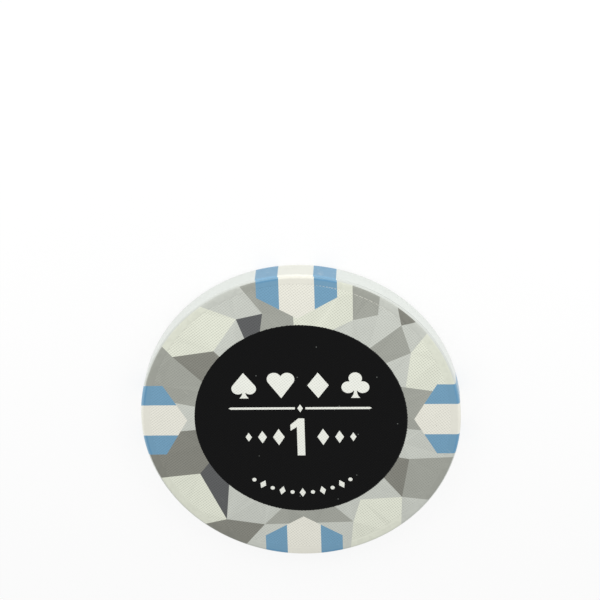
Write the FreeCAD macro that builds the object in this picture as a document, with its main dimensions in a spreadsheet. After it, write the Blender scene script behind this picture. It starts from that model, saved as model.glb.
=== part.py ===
import FreeCAD, Part
import math
import os

import Sketcher

# A poker chip of the moulded ceramic kind, lying obverse up.
#
# The chip is one white disc, the blank, moulded with a shallow recess in each face, a smooth land
# round it and a rounded rim. Its colours are dyes that sink into its surface, so each dyed region
# is a thin solid set flush in the blank, and what is white is the bare blank.
#
# Frame: millimetres, +Z up. The origin is the middle of the underside, on the surface that the
# chip lies on. +Y is the top of the picture on both faces, and +X is to the right on the obverse.

SIZES = [
    # the moulded disc
    ("chip_radius", 19.5, "outside radius"),
    ("chip_thickness", 3.3, "thickness over the two lands"),
    ("rim_round", 0.42, "radius of the rounding between rim and land"),
    ("land_width", 0.73, "smooth land between the rounding and the recess, with its inner slope"),
    ("land_slope_width", 0.2, "slope that leads from the land's flat part down to the recess"),
    ("recess_depth", 0.02, "how far the textured field lies below the land"),
    # the dyes
    ("dye_depth", 0.1, "how deep a dyed region reaches into the blank"),
    ("print_reach", 0.24, "how far the print of a face runs on over the rounding"),
    ("mosaic_width", 6.39, "from the black centre to the edge of the face's print"),
    # the four edge spots, each a white stripe between two blue ones
    ("spot_white_width", 4.22, "width of the bare white stripe"),
    ("spot_blue_width", 2.7, "width of each blue stripe"),
    ("spot_centre_gap", 0.9, "from the black centre to the point of a spot"),
    # drawing
    ("overrun", 1.0, "how far a cutting shape runs past what it cuts"),
]

# Angle between the side of a spot's point and the rim's tangent, in degrees.
SPOT_POINT_ANGLE = 30
SPOT_COUNT = 4
QUARTER_TURN = 90

# Facets of the mosaic round the centre. A corner is an angle in degrees, counter-clockwise from
# +X, and a share of the way from the black centre to the print's edge. Corners below 0 and above 1
# let a facet run under the centre and off the print. Two facets of one tone never meet, and the
# light grey that they lie on shows between them.
MOSAIC_SHARES = {
    "pale": [
        [(92, -0.2), (78, -0.2), (64, 0.34), (72, 1.35), (92, 1.35)],
        [(34, 0.52), (19, 0.10), (8, 1.35), (39, 1.35)],
        [(150, 0.72), (137, 0.16), (118, 0.42), (130, 1.35), (146, 1.35)],
        [(211, 0.28), (203, 1.35), (226, 1.35), (236, 0.66)],
        [(293, 0.46), (285, 1.35), (304, 1.35), (318, 0.56), (302, 0.08)],
    ],
    "mid_grey": [
        [(64, 0.34), (56, 0.66), (62, 1.35), (72, 1.35)],
        [(34, 0.52), (46, 0.76), (50, -0.2), (38, -0.2)],
        [(19, 0.10), (8, 1.35), (-6, 1.35), (-6, -0.2), (24, -0.2)],
        [(114, -0.2), (92, -0.2), (92, 1.35), (112, 1.35), (106, 0.34)],
        [(150, 0.72), (146, 1.35), (170, 1.35), (172, -0.2), (158, -0.2)],
        [(262, -0.2), (252, 0.44), (293, 0.46), (284, -0.2)],
        [(337, 0.22), (318, 0.56), (327, 1.35), (346, 1.35)],
    ],
    "dark_grey": [
        [(46, 0.76), (58, 1.35), (40, 1.35)],
        [(137, 0.16), (150, 0.72), (158, -0.2), (138, -0.2)],
        [(186, -0.2), (186, 1.35), (203, 1.35), (211, 0.28), (205, -0.2)],
        [(226, 1.35), (236, 0.66), (252, 0.44), (246, 1.35)],
        [(337, 0.22), (318, 0.56), (322, -0.2), (334, -0.2)],
    ],
    "slate": [
        [(118, 0.42), (106, 0.34), (114, -0.2), (121, -0.2)],
        [(205, -0.2), (211, 0.28), (236, 0.66), (220, -0.2)],
    ],
}

# The white drawing in the black centre, in shares of the centre's radius.
DRAWING_SHARES = {
    # height of the rule above the chip's middle, its whole length, its thickness and its lozenge
    "rule_rise": 0.124,
    "rule_length": 1.35,
    "rule_width": 0.0233,
    "rule_lozenge_height": 0.085,
    # from the rule to the card suits above it and to the numeral below it
    "rule_gap": 0.109,
    "suit_height": 0.271,
    "suit_gap": 0.0775,
    "numeral_height": 0.403,
    # the largest lozenge beside the numeral, and the gaps from the numeral outwards
    "lozenge_height": 0.178,
    "lozenge_gap": 0.058,
    # the lower row of small figures, along an arc
    "row_radius": 0.8,
    "row_lozenge_height": 0.097,
    "row_dot_radius": 0.02,
}

# Right halves of the four card suits, from the foot of each up to its top, in shares of its height
# from its middle. The third number is the radius of the edge that leaves the corner, 0 where it is
# straight and negative where it is hollow.
SUIT_SHARES = {
    "spade": [
        (0.16, -0.5, -0.42),
        (0.05, -0.276, 0.22),
        (0.346, -0.289, 0.22),
        (0.378, 0.016, 0),
        (0.0, 0.5, 0),
    ],
    "heart": [
        (0.0, -0.5, 0),
        (0.429, 0.105, 0.25),
        (0.225, 0.5, 0.25),
        (0.0, 0.359, 0),
    ],
    "diamond": [
        (0.0, -0.5, 0),
        (0.37, 0.0, 0),
        (0.0, 0.5, 0),
    ],
    "club": [
        (0.16, -0.5, -0.42),
        (0.05, -0.194, 0.23),
        (0.346, -0.289, 0.23),
        (0.467, -0.003, 0.23),
        (0.192, 0.142, 0.23),
        (0.0, 0.5, 0),
    ],
}

# The numeral 1, counter-clockwise, in shares of its height from its middle.
NUMERAL_SHARES = [
    (-0.09, -0.5, 0),
    (0.09, -0.5, 0),
    (0.09, 0.5, 0),
    (-0.05, 0.5, 0),
    (-0.24, 0.33, 0),
    (-0.24, 0.17, 0),
    (-0.09, 0.27, 0),
]

# Width of a lozenge, and the heights of the three beside the numeral, outwards.
LOZENGE_WIDTH_SHARE = 0.62
LOZENGE_ROW_SHARES = (1.0, 0.76, 0.54)

# The lower row's figures: the angle from one to the next, in degrees, and how many each side.
ROW_STEP = 7
ROW_FIGURES_EACH_SIDE = 5


class Size:
    """A length, with the formula that ties it to the sheet of sizes."""

    def __init__(self, value, formula):
        self.value = value
        self.formula = formula

    def __add__(self, other):
        return Size(self.value + other.value, f"({self.formula} + {other.formula})")

    def __sub__(self, other):
        return Size(self.value - other.value, f"({self.formula} - {other.formula})")

    def __mul__(self, share):
        return Size(self.value * share, f"({self.formula} * ({share}))")

    def along(self, angle):
        """Give the two coordinates of a point this far from the axis, at an angle in degrees."""
        turn = math.radians(angle)
        across = Size(self.value * math.cos(turn), f"({self.formula} * cos({angle} deg))")
        up = Size(self.value * math.sin(turn), f"({self.formula} * sin({angle} deg))")
        return across, up


ZERO = Size(0.0, "0")


def fill_sheet(doc):
    """Write the driving sizes into a sheet and give them back by name."""
    sheet = doc.addObject("Spreadsheet::Sheet", "Sizes")
    sizes = {}
    for row, (name, value, meaning) in enumerate(SIZES, start=1):
        sheet.set(f"A{row}", meaning)
        sheet.set(f"B{row}", str(value))
        sheet.setAlias(f"B{row}", name)
        sizes[name] = Size(value, f"Sizes.{name}")
    doc.recompute()
    return sizes


def print_radius(sizes):
    """Give the radius where the print of a face ends and the print of the edge begins."""
    return sizes["chip_radius"] - sizes["rim_round"] + sizes["print_reach"]


def centre_radius(sizes):
    """Give the radius of the black centre."""
    return print_radius(sizes) - sizes["mosaic_width"]


def drawn(sizes, name):
    """Give a size of the white drawing, which is scaled to the black centre."""
    return centre_radius(sizes) * DRAWING_SHARES[name]


def new_body(doc, name):
    """Start a body whose features may be several separate solids."""
    body = doc.addObject("PartDesign::Body", name)
    body.AllowCompound = True
    return body


def own_feature(body, role):
    """Find one of the body's own planes or axes."""
    return next(item for item in body.Origin.OriginFeatures if item.Role == role)


def new_sketch(body, name, role):
    """Lay an empty sketch on one of the body's own planes."""
    sketch = body.newObject("Sketcher::SketchObject", name)
    sketch.AttachmentSupport = [(own_feature(body, role), "")]
    sketch.MapMode = "FlatFace"
    return sketch


def edge_between(start, end, radius, hollow):
    """Give the edge between two corners: straight, or the shorter arc of that radius."""
    first = FreeCAD.Vector(start[0].value, start[1].value, 0)
    last = FreeCAD.Vector(end[0].value, end[1].value, 0)
    if radius is None:
        return Part.LineSegment(first, last)
    if hollow:
        first, last = last, first
    chord = last - first
    inward = FreeCAD.Vector(-chord.y, chord.x, 0).normalize()
    reach = math.sqrt(radius.value ** 2 - (chord.Length / 2) ** 2)
    centre = (first + last) * 0.5 + inward * reach
    circle = Part.Circle(centre, FreeCAD.Vector(0, 0, 1), radius.value)
    start_angle = math.atan2(first.y - centre.y, first.x - centre.x)
    end_angle = math.atan2(last.y - centre.y, last.x - centre.x)
    return Part.ArcOfCircle(circle, start_angle, end_angle)


def tie_all(sketch, ties):
    """Add dimensions to a sketch, each bound to the formula of its size."""
    first = sketch.ConstraintCount
    sketch.addConstraint([Sketcher.Constraint(*place, size.value) for place, size in ties])
    for index, (place, size) in enumerate(ties, start=first):
        sketch.setExpression(f"Constraints[{index}]", size.formula)


def draw_outline(sketch, corners):
    """Draw a closed outline, counter-clockwise, whose every corner follows the sheet.

    A corner is x and y, then the radius of the edge that leaves it where that edge is an arc, then
    True where the arc is hollow.
    """
    full = [tuple(corner) + (None, False)[len(corner) - 2:] for corner in corners]
    following = full[1:] + full[:1]
    first = sketch.GeometryCount
    edges = [edge_between(corner, after, corner[2], corner[3]) for corner, after in zip(full, following)]
    sketch.addGeometry(edges, False)
    meetings = []
    ties = []
    for place, (corner, after) in enumerate(zip(full, following)):
        across, up, radius, hollow = corner
        edge = first + place
        next_edge = first + (place + 1) % len(full)
        start, end = (2, 1) if hollow else (1, 2)
        next_start = 2 if after[3] else 1
        meetings.append(Sketcher.Constraint("Coincident", edge, end, next_edge, next_start))
        ties.append((("DistanceX", -1, 1, edge, start), across))
        ties.append((("DistanceY", -1, 1, edge, start), up))
        if radius is not None:
            ties.append((("Radius", edge), radius))
    sketch.addConstraint(meetings)
    tie_all(sketch, ties)


def draw_circle(sketch, across, up, radius):
    """Draw a circle whose centre and radius follow the sheet."""
    centre = FreeCAD.Vector(across.value, up.value, 0)
    edge = sketch.addGeometry(Part.Circle(centre, FreeCAD.Vector(0, 0, 1), radius.value), False)
    tie_all(sketch, [
        (("DistanceX", -1, 1, edge, 3), across),
        (("DistanceY", -1, 1, edge, 3), up),
        (("Radius", edge), radius),
    ])


def turned_disc(doc, name, sizes, inset):
    """Revolve the chip's section about Z, drawn in from the real surface by the inset."""
    rim = sizes["chip_radius"]
    top = sizes["chip_thickness"]
    recess = sizes["recess_depth"]
    rounding = sizes["rim_round"]
    land = rim - rounding
    field = land - sizes["land_width"]
    flat = field + sizes["land_slope_width"]
    body = new_body(doc, name)
    sketch = new_sketch(body, f"{name}Section", "XZ_Plane")
    draw_outline(sketch, [
        (ZERO, recess + inset),
        (field, recess + inset),
        (flat, inset),
        (land, inset, rounding - inset),
        (rim - inset, rounding),
        (rim - inset, top - rounding, rounding - inset),
        (land, top - inset),
        (flat, top - inset),
        (field, top - recess - inset),
        (ZERO, top - recess - inset),
    ])
    turn = body.newObject("PartDesign::Revolution", f"{name}Turn")
    turn.Profile = (sketch, [""])
    turn.ReferenceAxis = (sketch, ["V_Axis"])
    turn.Angle = 360
    return body


def pad_figures(body, name, outlines, circles, foot, height):
    """Pad closed outlines and circles straight up, from the height of their foot."""
    sketch = new_sketch(body, f"{name}Outline", "XY_Plane")
    sketch.setExpression("AttachmentOffset.Base.z", foot.formula)
    for corners in outlines:
        draw_outline(sketch, corners)
    for across, up, radius in circles:
        draw_circle(sketch, across, up, radius)
    pad = body.newObject("PartDesign::Pad", f"{name}Pad")
    pad.Profile = (sketch, [""])
    pad.setExpression("Length", height.formula)


def below_to_above(sizes):
    """Give the foot and the height of a shape that runs past both faces of the chip."""
    over = sizes["overrun"]
    return ZERO - over, sizes["chip_thickness"] + over + over


def middle_to_above(sizes):
    """Give the foot and the height of a shape from the chip's middle plane to above it."""
    half = sizes["chip_thickness"] * 0.5
    return half, half + sizes["overrun"]


def through_prism(doc, name, sizes, outlines):
    """Pad outlines from below the chip to above it."""
    body = new_body(doc, name)
    pad_figures(body, name, outlines, [], *below_to_above(sizes))
    return body


def upright_cylinder(doc, name, radius, foot, height):
    """Stand a cylinder on Z, from the height of its foot."""
    cylinder = doc.addObject("Part::Cylinder", name)
    cylinder.setExpression("Radius", radius.formula)
    cylinder.setExpression("Height", height.formula)
    cylinder.setExpression("Placement.Base.z", foot.formula)
    return cylinder


def combine(doc, kind, name, base, tool):
    """Join two shapes by a boolean."""
    result = doc.addObject(kind, name)
    result.Base = base
    result.Tool = tool
    return result


def cut(doc, name, base, tool):
    """Take one shape away from another."""
    return combine(doc, "Part::Cut", name, base, tool)


def common(doc, name, base, tool):
    """Keep what two shapes share."""
    return combine(doc, "Part::Common", name, base, tool)


def turned_copy(doc, name, source, axis, angle):
    """Repeat a shape, turned about an axis through the origin."""
    copy = doc.addObject("Part::Compound", name)
    copy.Links = [source]
    copy.Placement = FreeCAD.Placement(FreeCAD.Vector(0, 0, 0), FreeCAD.Rotation(axis, angle))
    return copy


def turned_over(doc, name, source, sizes):
    """Repeat an obverse shape on the reverse, turned over about the chip's Y line."""
    copy = turned_copy(doc, name, source, FreeCAD.Vector(0, 1, 0), 180)
    copy.setExpression("Placement.Base.z", sizes["chip_thickness"].formula)
    return copy


def spot_point(sizes, half_width):
    """Give how far out the pointed end of the +X edge spot starts, at a distance from its line."""
    tip = centre_radius(sizes) + sizes["spot_centre_gap"]
    return tip + half_width * math.tan(math.radians(SPOT_POINT_ANGLE))


def pointed_stripe(sizes, half_width):
    """Give the outline of a pointed stripe about the +X line, to past the rim."""
    end = sizes["chip_radius"] + sizes["overrun"]
    shoulder = spot_point(sizes, half_width)
    low = ZERO - half_width
    return [
        (spot_point(sizes, ZERO), ZERO),
        (shoulder, low),
        (end, low),
        (end, half_width),
        (shoulder, half_width),
    ]


def white_stripe(sizes):
    """Give the outline of the +X spot's white stripe."""
    return pointed_stripe(sizes, sizes["spot_white_width"] * 0.5)


def whole_spot(sizes):
    """Give the outline of the +X spot with all three of its stripes."""
    return pointed_stripe(sizes, sizes["spot_white_width"] * 0.5 + sizes["spot_blue_width"])


def left_stripe(sizes):
    """Give the outline of the +X spot's left blue stripe."""
    near = sizes["spot_white_width"] * 0.5
    far = near + sizes["spot_blue_width"]
    end = sizes["chip_radius"] + sizes["overrun"]
    return [(spot_point(sizes, near), near), (end, near), (end, far), (spot_point(sizes, far), far)]


def right_stripe(sizes):
    """Give the outline of the +X spot's right blue stripe, the left one mirrored."""
    return [(across, ZERO - up) for across, up in reversed(left_stripe(sizes))]


def at_every_spot(doc, name, sizes, outline):
    """Pad the +X spot's outline through the chip and repeat it at every spot."""
    body = through_prism(doc, name, sizes, [outline])
    pad = body.Tip
    pattern = body.newObject("PartDesign::PolarPattern", f"{name}Pattern")
    pattern.Originals = [pad]
    pattern.Axis = (own_feature(body, "Z_Axis"), [""])
    pattern.Angle = 360
    pattern.Occurrences = SPOT_COUNT
    body.Tip = pattern
    return body


def facet_outlines(sizes, facets):
    """Turn facets given as angles and shares into outlines."""
    start = centre_radius(sizes)
    band = sizes["mosaic_width"]
    return [[(start + band * share).along(angle) for angle, share in facet] for facet in facets]


def whole_suit(half):
    """Mirror the right half of a suit into its whole outline."""
    left = []
    for below, corner in zip(half, half[1:]):
        left.insert(0, (-corner[0], corner[1], below[2]))
    foot = half[0]
    if foot[0] > 0:
        left.append((-foot[0], foot[1], 0))
    return half[:-1] + left


def placed_figure(shares, across, up, height):
    """Give an outline in real sizes from shares of its height about its middle."""
    corners = []
    for x_share, y_share, radius_share in shares:
        corner = (across + height * x_share, up + height * y_share)
        if radius_share:
            corner += (height * abs(radius_share), radius_share < 0)
        corners.append(corner)
    return corners


def lozenge(across, up, height, tilt):
    """Give a lozenge's outline, with its long way at an angle in degrees."""
    tip_x, tip_y = (height * 0.5).along(tilt)
    side_x, side_y = (height * (0.5 * LOZENGE_WIDTH_SHARE)).along(tilt - QUARTER_TURN)
    return [
        (across - tip_x, up - tip_y),
        (across + side_x, up + side_y),
        (across + tip_x, up + tip_y),
        (across - side_x, up - side_y),
    ]


def suit_outlines(sizes):
    """Set the four card suits in a row above the rule."""
    height = drawn(sizes, "suit_height")
    up = drawn(sizes, "rule_rise") + drawn(sizes, "rule_gap") + height * 0.5
    pitch = height + drawn(sizes, "suit_gap")
    outlines = []
    for place, half in enumerate(SUIT_SHARES.values()):
        across = pitch * (place - (len(SUIT_SHARES) - 1) / 2)
        outlines.append(placed_figure(whole_suit(half), across, up, height))
    return outlines


def rule_outlines(sizes):
    """Give the rule's two pointed bars and the lozenge between them."""
    up = drawn(sizes, "rule_rise")
    width = drawn(sizes, "rule_width")
    low = up - width * 0.5
    high = up + width * 0.5
    middle = drawn(sizes, "rule_lozenge_height")
    start = middle * (0.5 * LOZENGE_WIDTH_SHARE) + width
    end = drawn(sizes, "rule_length") * 0.5
    shoulder = end - width
    right = [(start, low), (shoulder, low), (end, up), (shoulder, high), (start, high)]
    left = [(ZERO - across, height) for across, height in reversed(right)]
    return [left, right, lozenge(ZERO, up, middle, QUARTER_TURN)]


def numeral_middle(sizes):
    """Give the height of the numeral's middle."""
    return drawn(sizes, "rule_rise") - drawn(sizes, "rule_gap") - drawn(sizes, "numeral_height") * 0.5


def numeral_outlines(sizes):
    """Give the numeral, below the rule."""
    height = drawn(sizes, "numeral_height")
    return [placed_figure(NUMERAL_SHARES, ZERO, numeral_middle(sizes), height)]


def lozenge_outlines(sizes):
    """Set three lozenges on each side of the numeral, smaller outwards."""
    up = numeral_middle(sizes)
    reach = drawn(sizes, "numeral_height") * max(abs(corner[0]) for corner in NUMERAL_SHARES)
    outlines = []
    for share in LOZENGE_ROW_SHARES:
        height = drawn(sizes, "lozenge_height") * share
        half = height * (0.5 * LOZENGE_WIDTH_SHARE)
        across = reach + drawn(sizes, "lozenge_gap") + half
        outlines.append(lozenge(across, up, height, QUARTER_TURN))
        outlines.append(lozenge(ZERO - across, up, height, QUARTER_TURN))
        reach = across + half
    return outlines


def lower_row(sizes):
    """Set lozenges and dots in turn along an arc below the numeral."""
    radius = drawn(sizes, "row_radius")
    lozenges = []
    dots = []
    for place in range(-ROW_FIGURES_EACH_SIDE, ROW_FIGURES_EACH_SIDE + 1):
        angle = place * ROW_STEP - QUARTER_TURN
        across, up = radius.along(angle)
        if place % 2 == 0:
            lozenges.append(lozenge(across, up, drawn(sizes, "row_lozenge_height"), angle))
        else:
            dots.append((across, up, drawn(sizes, "row_dot_radius")))
    return lozenges, dots


def white_figures(doc, sizes):
    """Make the prisms, over the chip's upper half, that stay undyed in the black centre."""
    span = middle_to_above(sizes)
    body = new_body(doc, "Figures")
    pad_figures(body, "Suits", suit_outlines(sizes), [], *span)
    pad_figures(body, "Rule", rule_outlines(sizes), [], *span)
    pad_figures(body, "Numeral", numeral_outlines(sizes), [], *span)
    pad_figures(body, "Lozenges", lozenge_outlines(sizes), [], *span)
    pad_figures(body, "LowerRow", *lower_row(sizes), *span)
    return body


def edge_pieces(doc, sizes, skin):
    """Make the dyed regions that wrap the rim: four grey bands and four pairs of blue stripes.

    Spot 1 is at the top of the picture and the count runs clockwise. Band 1 lies between spots 1
    and 2. Left and right are as seen from the chip's middle.
    """
    inner = sizes["spot_white_width"] * 0.5 + sizes["spot_blue_width"]
    outer = sizes["chip_radius"] + sizes["overrun"]
    quarter = [(inner, inner), (outer, inner), (outer, outer), (inner, outer)]
    printed = upright_cylinder(doc, "FacePrint", print_radius(sizes), *below_to_above(sizes))
    rim_skin = cut(doc, "RimSkin", skin, printed)
    band = common(doc, "Band", rim_skin, through_prism(doc, "Quarter", sizes, [quarter]))
    left = common(doc, "LeftStripe", skin, through_prism(doc, "Left", sizes, [left_stripe(sizes)]))
    right = common(doc, "RightStripe", skin, through_prism(doc, "Right", sizes, [right_stripe(sizes)]))

    pieces = {}
    for place in range(SPOT_COUNT):
        number = place + 1
        band_angle = -place * QUARTER_TURN
        spot_angle = band_angle + QUARTER_TURN
        for name, source, angle in (
            (f"edge_band_{number}", band, band_angle),
            (f"edge_spot_{number}_blue_left", left, spot_angle),
            (f"edge_spot_{number}_blue_right", right, spot_angle),
        ):
            pieces[name] = turned_copy(doc, name, source, FreeCAD.Vector(0, 0, 1), angle)
    return pieces


def face_pieces(doc, sizes, skin, figures):
    """Make the dyed regions of the obverse: the black centre and the mosaic, tone by tone."""
    span = middle_to_above(sizes)
    printed = upright_cylinder(doc, "UpperPrint", print_radius(sizes), *span)
    centre = upright_cylinder(doc, "UpperCentre", centre_radius(sizes), *span)
    spots = at_every_spot(doc, "Spots", sizes, whole_spot(sizes))
    ring_skin = common(doc, "RingSkin", skin, cut(doc, "Ring", printed, centre))
    mosaic = cut(doc, "Mosaic", ring_skin, spots)

    centre_skin = common(doc, "CentreSkin", skin, centre)
    pieces = {"obverse_black_centre": cut(doc, "BlackCentre", centre_skin, figures)}
    ground = mosaic
    for tone, facets in MOSAIC_SHARES.items():
        prisms = through_prism(doc, f"Facets_{tone}", sizes, facet_outlines(sizes, facets))
        pieces[f"obverse_mosaic_{tone}"] = common(doc, f"Tone_{tone}", mosaic, prisms)
        ground = cut(doc, f"Without_{tone}", ground, prisms)
    pieces["obverse_mosaic_light_grey"] = ground
    return pieces


def make_blank(doc, sizes, envelope, skin, figures):
    """Make the white disc: the whole chip without its dyed regions."""
    stripes = at_every_spot(doc, "Stripes", sizes, white_stripe(sizes))
    beside_stripes = cut(doc, "BesideStripes", skin, stripes)
    beside_obverse = cut(doc, "BesideObverse", beside_stripes, figures)
    dyed = cut(doc, "Dyed", beside_obverse, turned_over(doc, "ReverseFigures", figures, sizes))
    return cut(doc, "Blank", envelope, dyed)


def make_chip(doc, sizes):
    """Make every piece of the chip and give them by name."""
    envelope = turned_disc(doc, "Envelope", sizes, ZERO)
    core = turned_disc(doc, "Core", sizes, sizes["dye_depth"])
    skin = cut(doc, "Skin", envelope, core)
    figures = white_figures(doc, sizes)
    obverse = face_pieces(doc, sizes, skin, figures)

    pieces = {"blank": make_blank(doc, sizes, envelope, skin, figures)}
    pieces.update(edge_pieces(doc, sizes, skin))
    pieces.update(obverse)
    for name, piece in obverse.items():
        reverse_name = name.replace("obverse", "reverse")
        pieces[reverse_name] = turned_over(doc, reverse_name, piece, sizes)
    for name, piece in pieces.items():
        piece.Label = name
    return pieces


def check_model(doc, pieces):
    """Stop if any object failed or any piece isn't sound."""
    failed = [item.Label for item in doc.Objects if {"Invalid", "Error"} & set(item.State)]
    unsound = [name for name, piece in pieces.items()
               if piece.Shape.isNull() or not piece.Shape.isValid() or not piece.Shape.Solids]
    if failed or unsound:
        raise RuntimeError(f"failed objects {failed}, unsound pieces {unsound}")


def main():
    doc = FreeCAD.newDocument("PokerChip")
    sizes = fill_sheet(doc)
    pieces = make_chip(doc, sizes)
    doc.recompute()
    check_model(doc, pieces)
    os.makedirs("parts", exist_ok=True)
    for name, piece in pieces.items():
        piece.Shape.exportStep(f"parts/{name}.step")
        print(name, len(piece.Shape.Solids), round(piece.Shape.Volume, 4))


main()
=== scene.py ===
import math

import bpy
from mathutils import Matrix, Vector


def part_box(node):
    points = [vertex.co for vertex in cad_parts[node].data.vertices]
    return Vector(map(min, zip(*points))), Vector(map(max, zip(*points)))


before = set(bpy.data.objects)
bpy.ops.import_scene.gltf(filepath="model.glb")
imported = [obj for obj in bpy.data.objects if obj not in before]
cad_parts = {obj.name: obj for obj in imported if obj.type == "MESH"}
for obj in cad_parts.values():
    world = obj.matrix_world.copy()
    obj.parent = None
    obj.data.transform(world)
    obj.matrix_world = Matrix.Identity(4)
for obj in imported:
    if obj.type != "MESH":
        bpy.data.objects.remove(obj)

# The looks of a moulded ceramic poker chip, lying obverse up on a white table.
#
# The chip is one white blank whose colours are dyes pressed into its surface, so every piece shows
# the same moulded surface and only the dye on it changes. Materials work in millimetres, from the
# place of a point on the chip: its distance from the axis, its depth under the nearer face, and the
# fine square grid of pits that the mould leaves on the recessed field of each face.
#
# A pair of values with a comment that calls it a span is where something starts and where it is
# full.

MM = 0.001

# The chip's sizes in millimetres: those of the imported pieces, and others as the part's source has
# them.
CHIP_LOW, CHIP_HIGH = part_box("blank")
CHIP_RADIUS = CHIP_HIGH.x / MM
HALF_THICKNESS = (CHIP_HIGH.z - CHIP_LOW.z) / 2 / MM
CENTRE_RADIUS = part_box("obverse_black_centre")[1].x / MM
RIM_ROUND = 0.42
LAND_RADIUS = CHIP_RADIUS - RIM_ROUND
LAND_WIDTH = 0.73
FIELD_RADIUS = LAND_RADIUS - LAND_WIDTH
PRINT_REACH = 0.24
PRINT_RADIUS = LAND_RADIUS + PRINT_REACH
SPOT_WHITE_HALF = 2.11
SPOT_BLUE_WIDTH = 2.7
SPOT_HALF = SPOT_WHITE_HALF + SPOT_BLUE_WIDTH

# The pits of the field: their spacing, the turn of their grid, how deep they are, and how strongly
# its two directions are cut, the first more strongly from left to right. This follows how the light
# falls across the pits, and it sets both their relief and their painted shade.
PIT_PITCH = 0.285
PIT_TURN = math.radians(38)
PIT_DEPTH = 0.03
FIRST_CUT = 0.43
FIRST_CUT_GAIN = 0.008
SECOND_CUT = 0.5

# The mould cuts the field a little off the chip's centre, and the smooth land round it looks a
# little darker than the field and the edge.
FIELD_CENTRE = (-0.05, 0.1)
FIELD_FADE = 0.12
LAND_SHADE = 0.04

# Painted highlights: crests of the net between the pits are painted lighter, where they would catch
# the light, along a stretch of the field's edge. A crest is what rises over a level of the pits,
# and the stretch lies in one direction from the middle.
GLINT_ANGLE = math.radians(68)
GLINT_REACH = 17.3
GLINT_PLACE = FIELD_RADIUS - 0.1
GLINT_WIDTH = 0.24
GLINT_SHARE = 0.5
CREST_LEVEL = 0.3

# Soft random changes: how many blotches there are to the millimetre and how fine their detail is,
# then how far they change the dye, the roughness or, in millimetres, the height of the surface. The
# waves are on the edge alone.
BLOTCHES = (0.7, 3.0)
BLOTCH_SHADE = 0.05
FLECKS = (7.0, 2.0)
FLECK_SHADE = 0.04
SHEEN = (1.6, 2.0)
SHEEN_CHANGE = 0.08
GRAIN = (9.0, 3.0)
GRAIN_HEIGHT = 0.0012
WAVES = (2.2, 2.0)
WAVE_HEIGHT = 0.002

# Specks of dye and dust: how many places there are to the millimetre, the size of a speck, and the
# share of the places that have one. The core is the part of a speck that is full.
DYE_SPECKS = (0.3, 0.08, 0.07)
DYE_SPECK_SHARE = 0.5
DUST_SPECKS = (0.42, 0.09, 0.2)
SPECK_CORE = 0.4
CHOICE_BLUR = 0.01

# Scuffs: their direction, how many there are across a millimetre, how long they are drawn, how fine
# their detail is, the span of the noise that makes one, and how strongly they show.
SCUFF_ANGLE = math.radians(-50)
SCUFF_SCALE = 1.3
SCUFF_STRETCH = 0.12
SCUFF_DETAIL = 3.0
SCUFF_SPAN = (0.68, 0.74)
SCUFF_SHARE = 0.12

# The print of a face lies a little off the chip's centre too.
PRINT_CENTRE = (0.07, 0.0)

# The print on the edge is a strip wrapped round it, a little out of step with the faces. It starts
# just past a face's print and at the latest at a depth under the face, and softly between the
# spots. Its ends meet in a seam, and its border lies double on the obverse, over a span from left
# to right. It is rubbed in places, by a span of noise.
EDGE_START = PRINT_RADIUS + 0.08
EDGE_STEP = 0.1
WALL_DEPTH = 0.25
GREY_DEPTH = 0.06
STRIPE_BLUR = 0.03
SEAM_ANGLE = math.radians(-62)
SEAM_WIDTH = 0.07
SEAM_SHADE = 0.16
DOUBLE_HEIGHT = HALF_THICKNESS * 2 - 0.39
DOUBLE_WIDTH = 0.2
DOUBLE_SPAN = (2.0, 12.0)
DOUBLE_SHADE = 0.45
RUBS = (0.9, 4.0)
RUB_SPAN = (0.62, 0.78)
RUB_SHARE = 0.15

# The white and the blue are painted lighter on the rounding, a painted highlight that also stands
# for
# thinner dye there: the spans of radius and of depth, and by how much.
ROUNDING_SPAN = (LAND_RADIUS, LAND_RADIUS + RIM_ROUND * 0.5)
ROUNDING_DEPTH_SPAN = (RIM_ROUND * 1.3, RIM_ROUND * 0.8)
ROUNDING_HIGHLIGHT_AND_THIN_DYE_GAIN = 0.13

# A blue stripe is a deeper blue where its print ends, and a thin line before the edge's is paler.
BLUE_END_PLACE = PRINT_RADIUS - 0.17
BLUE_END_WIDTH = 0.36
GAP_PLACE = PRINT_RADIUS + 0.01
GAP_WIDTH = 0.08
GAP_SHARE = 0.12

# The greys of a face thin out over a span of radius that wavers, where their print ends.
THINNING_SPAN = (EDGE_START - 0.1, EDGE_START + 0.04)
WAVER = (3.0, 2.0)
WAVER_REACH = 0.06

# The black centre's edge, as a span of radius, and how much further it creeps in the pits. The
# white inside it is the drawing's, past a span of radius that lies under the black.
BLACK_SPAN = (CENTRE_RADIUS + 0.05, CENTRE_RADIUS + 0.01)
BLACK_CREEP = 0.05
DRAWING_SPAN = (CENTRE_RADIUS, CENTRE_RADIUS - 0.1)

# Dyes, as linear colours. The edge is printed with other dyes than the faces, and the faces' greys
# thin out to one grey. A tone's facets differ a little.
WHITE = (0.785, 0.775, 0.69)
CENTRE_WHITE = (0.84, 0.855, 0.785)
BLUE = (0.165, 0.335, 0.485)
DEEP_BLUE = (0.12, 0.29, 0.465)
BLACK = (0.002, 0.002, 0.0022)
DUST = (0.16, 0.17, 0.16)
SPECK = (0.2, 0.2, 0.18)
EDGE_WHITE = (0.81, 0.81, 0.74)
EDGE_BLUE = (0.213, 0.39, 0.55)
EDGE_GREY = (0.75, 0.785, 0.745)
THIN_GREY = (0.63, 0.655, 0.61)
TONES = {
    "pale": (0.72, 0.74, 0.63),
    "light_grey": (0.56, 0.58, 0.53),
    "mid_grey": (0.35, 0.36, 0.32),
    "dark_grey": (0.225, 0.225, 0.195),
    "slate": (0.10, 0.103, 0.105),
}
TONE_SPREAD = 0.07
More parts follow.
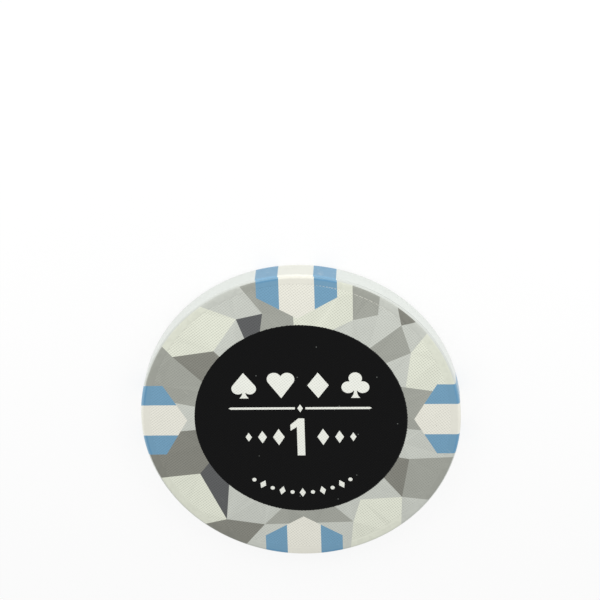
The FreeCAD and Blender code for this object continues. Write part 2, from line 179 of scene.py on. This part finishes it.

# Painted shade in the pits: how much darker each dye is painted at the bottom of a pit.
PIT_PAINTED_SHADES = {
    "white": 0.23,
    "blue": 0.12,
    "edge_grey": 0.0,
    "black": 0.0,
    "pale": 0.32,
    "light_grey": 0.2,
    "mid_grey": 0.18,
    "dark_grey": 0.3,
    "slate": 0.32,
}

# How glossy the dyes are: the faces' satin, the black and the edge's shine.
FACE_ROUGHNESS = 0.5
FACE_GLOSS = 0.2
BLACK_GLOSS = 0.075
EDGE_ROUGHNESS = 0.3
EDGE_GLOSS = 0.65

# The camera, fitted to the chip's outline and its print in the photograph: its place in metres, its
# turn in degrees and its focal length.
CAMERA_PLACE = (12.68 * MM, 132.44 * MM, 235.31 * MM)
CAMERA_TURN = (-26.63, 2.23, -1.6)
CAMERA_LENS = 131.66

# Light, as shares of the level at which a colour shows as it is written. Three soft lamps hang
# past the top of the picture, named by the angle of each from the right, in degrees. Their distance
# and size are in metres.
SKY_SHARE = 0.705
LAMP_SHARES = {40: 0.23, 90: 0.09, 140: 0.19}
LAMP_RISE = math.radians(35)
LAMP_DISTANCE = 0.1
LAMP_SIZE = 0.07

# The table's side in metres, its colour as it lights the chip and as the camera sees it, and how
# much of its look is plain white for the camera.
TABLE_SIZE = 6
TABLE_GREY = (0.86, 0.86, 0.86)
TABLE_WHITE = (0.95, 0.95, 0.95)
TABLE_GLOW = 0.8


class Number:
    """A number that varies over a surface, worked out by shader nodes."""

    def __init__(self, tree, socket):
        self.tree = tree
        self.socket = socket

    def combine(self, operation, *terms):
        node = self.tree.nodes.new("ShaderNodeMath")
        node.operation = operation
        for place, term in enumerate((self, *terms)):
            feed(self.tree, node.inputs[place], term)
        return Number(self.tree, node.outputs[0])

    def __add__(self, other):
        return self.combine("ADD", other)

    def __sub__(self, other):
        return self.combine("SUBTRACT", other)

    def __mul__(self, other):
        return self.combine("MULTIPLY", other)

    def __pow__(self, other):
        return self.combine("POWER", other)

    def __abs__(self):
        return self.combine("ABSOLUTE")

    def cosine(self):
        return self.combine("COSINE")

    def lower_of(self, other):
        return self.combine("MINIMUM", other)

    def higher_of(self, other):
        return self.combine("MAXIMUM", other)

    def ramp(self, start, end):
        """Rise smoothly from 0 to 1 between two values, or fall where start is above end."""
        node = self.tree.nodes.new("ShaderNodeMapRange")
        node.interpolation_type = "SMOOTHSTEP"
        feed(self.tree, node.inputs["Value"], self)
        if start < end:
            limits = (start, end, 0, 1)
        else:
            limits = (end, start, 1, 0)
        for name, limit in zip(("From Min", "From Max", "To Min", "To Max"), limits):
            node.inputs[name].default_value = limit
        return Number(self.tree, node.outputs["Result"])

    def band(self, middle, width):
        """Give 1 at a value and 0 from half a width away on both sides."""
        return abs(self - middle).ramp(width * 0.5, 0.0)


def feed(tree, target, value):
    """Give a socket a number, a colour or what another node works out."""
    if isinstance(value, Number):
        value = value.socket
    if isinstance(value, bpy.types.NodeSocket):
        tree.links.new(value, target)
    elif isinstance(value, tuple):
        target.default_value = (*value, 1)
    else:
        target.default_value = value


def blend(tree, share, first, second):
    """Mix two colours, the first where the share is 0 and the second where it is 1."""
    node = tree.nodes.new("ShaderNodeMix")
    node.data_type = "RGBA"
    feed(tree, node.inputs["Factor"], share)
    for name, colour in (("A", first), ("B", second)):
        socket = next(item for item in node.inputs if item.name == name and item.type == "RGBA")
        feed(tree, socket, colour)
    return next(item for item in node.outputs if item.type == "RGBA")


def scaled(tree, colour, share):
    """Make a colour lighter or darker by a share that varies."""
    node = tree.nodes.new("ShaderNodeVectorMath")
    node.operation = "SCALE"
    if isinstance(colour, tuple):
        node.inputs[0].default_value = colour
    else:
        tree.links.new(colour, node.inputs[0])
    feed(tree, node.inputs["Scale"], share)
    return node.outputs[0]


class Surface:
    """The chip's moulded surface, as numbers that vary from point to point."""

    def __init__(self, tree):
        self.tree = tree
        place = tree.nodes.new("ShaderNodeTexCoord").outputs["Object"]
        larger = tree.nodes.new("ShaderNodeVectorMath")
        larger.operation = "SCALE"
        larger.inputs["Scale"].default_value = 1 / MM
        tree.links.new(place, larger.inputs[0])
        self.place = larger.outputs[0]
        split = tree.nodes.new("ShaderNodeSeparateXYZ")
        tree.links.new(self.place, split.inputs[0])
        self.x, self.y, self.height = (Number(tree, socket) for socket in split.outputs)
        self.radius = self.distance((0.0, 0.0))
        self.print_radius = self.distance(PRINT_CENTRE)
        self.depth = abs(self.height - HALF_THICKNESS) * -1 + HALF_THICKNESS
        past_print = self.print_radius.ramp(EDGE_START - STRIPE_BLUR, EDGE_START + STRIPE_BLUR)
        on_wall = self.depth.ramp(WALL_DEPTH - STRIPE_BLUR, WALL_DEPTH + STRIPE_BLUR)
        self.edge = past_print.higher_of(on_wall)
        self.field = self.distance(FIELD_CENTRE).ramp(FIELD_RADIUS, FIELD_RADIUS - FIELD_FADE)
        self.cut_pits()

    def distance(self, centre):
        """Give the distance from an upright line through a point."""
        across = self.x - centre[0]
        up = self.y - centre[1]
        return (across * across + up * up) ** 0.5

    def noise(self, scale, detail):
        """Give soft random blotches, between 0 and 1, so many to the millimetre."""
        node = self.tree.nodes.new("ShaderNodeTexNoise")
        node.inputs["Scale"].default_value = scale
        node.inputs["Detail"].default_value = detail
        self.tree.links.new(self.place, node.inputs["Vector"])
        return Number(self.tree, node.outputs[0])

    def specks(self, scale, size, share):
        """Give 1 in small round specks: so many places to the millimetre, and a share of them."""
        cells = self.tree.nodes.new("ShaderNodeTexVoronoi")
        cells.voronoi_dimensions = "2D"
        cells.inputs["Scale"].default_value = scale
        self.tree.links.new(self.place, cells.inputs["Vector"])
        near = Number(self.tree, cells.outputs["Distance"])
        near = near.ramp(size * scale, size * scale * SPECK_CORE)
        choice = self.tree.nodes.new("ShaderNodeSeparateColor")
        self.tree.links.new(cells.outputs["Color"], choice.inputs[0])
        chosen = Number(self.tree, choice.outputs[0])
        return near * chosen.ramp(1 - share, 1 - share + CHOICE_BLUR)

    def turned(self, angle):
        """Give x and y along axes turned by an angle."""
        along = self.x * math.cos(angle) + self.y * math.sin(angle)
        across = self.y * math.cos(angle) - self.x * math.sin(angle)
        return along, across

    def scuffs(self):
        """Give 1 along a few fine scuffs that run in one direction."""
        along, across = self.turned(SCUFF_ANGLE)
        stretched = self.tree.nodes.new("ShaderNodeCombineXYZ")
        feed(self.tree, stretched.inputs["X"], along * (SCUFF_SCALE * SCUFF_STRETCH))
        feed(self.tree, stretched.inputs["Y"], across * SCUFF_SCALE)
        node = self.tree.nodes.new("ShaderNodeTexNoise")
        node.inputs["Scale"].default_value = 1.0
        node.inputs["Detail"].default_value = SCUFF_DETAIL
        self.tree.links.new(stretched.outputs[0], node.inputs["Vector"])
        return Number(self.tree, node.outputs[0]).ramp(*SCUFF_SPAN)

    def cut_pits(self):
        """Work out the pits, 1 at the bottom of each and 0 on the net between, and their mean."""
        turns = math.tau / PIT_PITCH
        first_step, second_step = ((side * turns).cosine() for side in self.turned(PIT_TURN))
        first_cut = self.x * FIRST_CUT_GAIN + FIRST_CUT
        first_mean = first_cut * -1 + 1
        second = second_step * -SECOND_CUT + (1 - SECOND_CUT)
        self.pits = (first_mean - first_step * first_cut) * second * self.field
        self.pit_mean = first_mean * (1 - SECOND_CUT) * self.field

    def relief(self):
        """Give the height of the surface's fine relief, in millimetres."""
        grain = self.noise(*GRAIN) * GRAIN_HEIGHT
        waves = self.noise(*WAVES) * WAVE_HEIGHT * self.edge
        return grain + waves - self.pits * PIT_DEPTH


def edge_print(surface):
    """Give the colour of the strip printed round the edge: grey, with the spots' stripes."""
    tree = surface.tree
    along, across = surface.turned(EDGE_STEP / CHIP_RADIUS)
    off_line = abs(along).lower_of(abs(across))
    past_white = off_line.ramp(SPOT_WHITE_HALF - STRIPE_BLUR, SPOT_WHITE_HALF + STRIPE_BLUR)
    past_spot = off_line.ramp(SPOT_HALF - STRIPE_BLUR, SPOT_HALF + STRIPE_BLUR)
    whole = blend(tree, past_spot, blend(tree, past_white, EDGE_WHITE, EDGE_BLUE), EDGE_GREY)
    seam_along, seam_across = surface.turned(SEAM_ANGLE)
    seam = abs(seam_across).ramp(SEAM_WIDTH, SEAM_WIDTH * 0.5) * seam_along.ramp(0.0, 1.0)
    double = surface.height.band(DOUBLE_HEIGHT, DOUBLE_WIDTH) * surface.x.ramp(*DOUBLE_SPAN)
    rubbed = surface.noise(*RUBS).ramp(*RUB_SPAN)
    shade = (seam * -SEAM_SHADE + 1) * (double * -DOUBLE_SHADE + 1)
    return blend(tree, rubbed * RUB_SHARE, scaled(tree, whole, shade), EDGE_WHITE)


def finished_material(slot, colour_of, gloss):
    """Make a slot's material, whose colour is worked out over the chip's moulded surface."""
    material = bpy.data.materials.new(f"chip_{slot}")
    material.use_nodes = True
    tree = material.node_tree
    surface = Surface(tree)
    mottle = surface.noise(*BLOTCHES) * BLOTCH_SHADE + surface.noise(*FLECKS) * FLECK_SHADE
    mottle = mottle + (1 - (BLOTCH_SHADE + FLECK_SHADE) / 2)
    # Painted shade: the dye is darkened at the bottom of each pit, where shade falls, and evened
    # out over the field.
    painted_pit_shade = (surface.pits - surface.pit_mean) * -PIT_PAINTED_SHADES[slot] + 1
    off_land = surface.field.higher_of(surface.edge)
    shade = mottle * painted_pit_shade * (off_land * LAND_SHADE + (1 - LAND_SHADE))
    shader = tree.nodes["Principled BSDF"]
    feed(tree, shader.inputs["Base Color"], scaled(tree, colour_of(surface), shade))
    sheen = surface.noise(*SHEEN) * SHEEN_CHANGE - SHEEN_CHANGE / 2
    sheen = sheen + surface.edge * (EDGE_ROUGHNESS - FACE_ROUGHNESS)
    feed(tree, shader.inputs["Roughness"], sheen + FACE_ROUGHNESS)
    shader.inputs["Specular IOR Level"].default_value = gloss
    bump = tree.nodes.new("ShaderNodeBump")
    bump.inputs["Distance"].default_value = MM
    feed(tree, bump.inputs["Height"], surface.relief())
    tree.links.new(bump.outputs[0], shader.inputs["Normal"])
    return material


def speckled(surface, colour):
    """Put light scuffs, painted highlights on crests, and a few dark specks of dye, on a face's
    colour.
    """
    tree = surface.tree
    crests = surface.pits.ramp(CREST_LEVEL, 0.0)
    glints = surface.distance(FIELD_CENTRE).band(GLINT_PLACE, GLINT_WIDTH) * crests
    glints = glints * surface.turned(GLINT_ANGLE)[0].ramp(GLINT_REACH, FIELD_RADIUS) * GLINT_SHARE
    # The glints are a painted highlight; the scuffs are wear.
    light = glints.higher_of(surface.scuffs() * SCUFF_SHARE)
    scuffed = blend(tree, light, colour, WHITE)
    return blend(tree, surface.specks(*DYE_SPECKS) * DYE_SPECK_SHARE, scuffed, SPECK)


def faded(surface, colour):
    """Let a face's dye thin out where its print ends on the rounding."""
    thinning = surface.noise(*WAVER) * WAVER_REACH + surface.print_radius
    return blend(surface.tree, thinning.ramp(*THINNING_SPAN), colour, THIN_GREY)


def tone_colour(colour):
    """Give a facet's colour, with the black centre's edge spread a little into the pits."""
    def worked_out(surface):
        tree = surface.tree
        facet = Number(tree, tree.nodes.new("ShaderNodeNewGeometry").outputs["Random Per Island"])
        own = scaled(tree, colour, facet * TONE_SPREAD + (1 - TONE_SPREAD / 2))
        black = (surface.print_radius - surface.pits * BLACK_CREEP).ramp(*BLACK_SPAN)
        return blend(tree, black, faded(surface, speckled(surface, own)), BLACK)
    return worked_out


def black_colour(surface):
    """Give the black centre, with a few specks of dust."""
    return blend(surface.tree, surface.specks(*DUST_SPECKS), BLACK, DUST)


def white_colour(surface):
    """Give the bare white: cream in the spots, the edge's on the edge, and the drawing's."""
    drawing = surface.radius.ramp(*DRAWING_SPAN)
    return blend(surface.tree, drawing, striped(WHITE, WHITE)(surface), CENTRE_WHITE)


def striped(colour, ending):
    """Give a spot's colour on the faces, its ending colour, and the edge's print past it, painted
    lighter on the rounding.
    """
    def worked_out(surface):
        tree = surface.tree
        end = surface.print_radius.band(BLUE_END_PLACE, BLUE_END_WIDTH)
        own = speckled(surface, blend(tree, end, colour, ending))
        gap = surface.print_radius.band(GAP_PLACE, GAP_WIDTH) * GAP_SHARE
        whole = blend(tree, surface.edge, blend(tree, gap, own, WHITE), edge_print(surface))
        # Painted highlight on the rounding, which also stands for thinner dye there.
        rounding = surface.radius.ramp(*ROUNDING_SPAN) * surface.depth.ramp(*ROUNDING_DEPTH_SPAN)
        return scaled(tree, whole, rounding * ROUNDING_HIGHLIGHT_AND_THIN_DYE_GAIN + 1)
    return worked_out


def grey_colour(surface):
    """Give the edge's grey, whose print starts softly where the facets' thins out."""
    start = surface.depth.ramp(GREY_DEPTH, RIM_ROUND)
    return blend(surface.tree, start, THIN_GREY, edge_print(surface))


def make_materials():
    """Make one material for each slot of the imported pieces."""
    looks = {
        "white": (white_colour, FACE_GLOSS),
        "blue": (striped(BLUE, DEEP_BLUE), FACE_GLOSS),
        "edge_grey": (grey_colour, EDGE_GLOSS),
        "black": (black_colour, BLACK_GLOSS),
    }
    for tone, colour in TONES.items():
        looks[tone] = (tone_colour(colour), FACE_GLOSS)
    return {slot: finished_material(slot, *look) for slot, look in looks.items()}


def dress(materials):
    """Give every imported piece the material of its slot."""
    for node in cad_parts.values():
        for slot in node.material_slots:
            slot.material = materials[slot.material.name]


def seen_rays(tree):
    """Give 1 for what the camera sees, straight or through gloss and glass, and 0 for light."""
    rays = tree.nodes.new("ShaderNodeLightPath")
    seen = Number(tree, rays.outputs["Is Camera Ray"])
    seen = seen.higher_of(Number(tree, rays.outputs["Is Glossy Ray"]))
    return seen.higher_of(Number(tree, rays.outputs["Is Transmission Ray"]))


def make_floor():
    """Lay a white table that shows as white and still takes the chip's shadow."""
    bpy.ops.mesh.primitive_plane_add(size=TABLE_SIZE)
    floor = bpy.context.object
    floor.name = "floor"
    material = bpy.data.materials.new("floor")
    material.use_nodes = True
    tree = material.node_tree
    tree.nodes.clear()
    matt = tree.nodes.new("ShaderNodeBsdfDiffuse")
    seen = seen_rays(tree)
    feed(tree, matt.inputs["Color"], blend(tree, seen, TABLE_GREY, TABLE_WHITE))
    glow = tree.nodes.new("ShaderNodeEmission")
    glow.inputs["Strength"].default_value = 1
    mixed = tree.nodes.new("ShaderNodeMixShader")
    feed(tree, mixed.inputs[0], seen * TABLE_GLOW)
    tree.links.new(matt.outputs[0], mixed.inputs[1])
    tree.links.new(glow.outputs[0], mixed.inputs[2])
    output = tree.nodes.new("ShaderNodeOutputMaterial")
    tree.links.new(mixed.outputs[0], output.inputs[0])
    floor.data.materials.append(material)


def make_sky():
    """Light the table from all round, with a sky that the camera sees as white."""
    world = bpy.data.worlds.new("sky")
    bpy.context.scene.world = world
    world.use_nodes = True
    tree = world.node_tree
    background = tree.nodes["Background"]
    background.inputs["Color"].default_value = (1, 1, 1, 1)
    feed(tree, background.inputs["Strength"], seen_rays(tree) * (1 - SKY_SHARE) + SKY_SHARE)


def make_lamp(turn, share):
    """Hang a soft lamp in a direction, with the power that gives its share on the chip."""
    lamp = bpy.data.lights.new("lamp", "AREA")
    lamp.size = LAMP_SIZE
    lamp.energy = share * (math.pi * LAMP_DISTANCE) ** 2
    light = bpy.data.objects.new("lamp", lamp)
    level = LAMP_DISTANCE * math.cos(LAMP_RISE)
    height = LAMP_DISTANCE * math.sin(LAMP_RISE)
    light.location = (level * math.cos(turn), level * math.sin(turn), height)
    light.rotation_euler = (math.pi / 2 - LAMP_RISE, 0, turn + math.pi / 2)
    bpy.context.collection.objects.link(light)


def make_camera():
    """Look at the chip from where the photograph was taken."""
    lens = bpy.data.cameras.new("camera")
    lens.lens = CAMERA_LENS
    camera = bpy.data.objects.new("camera", lens)
    camera.location = CAMERA_PLACE
    camera.rotation_euler = tuple(math.radians(angle) for angle in CAMERA_TURN)
    bpy.context.collection.objects.link(camera)
    bpy.context.scene.camera = camera


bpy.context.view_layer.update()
make_camera()
dress(make_materials())
make_floor()
make_sky()
for lamp_turn, lamp_share in LAMP_SHARES.items():
    make_lamp(math.radians(lamp_turn), lamp_share)
bpy.context.scene.view_settings.view_transform = "Standard"
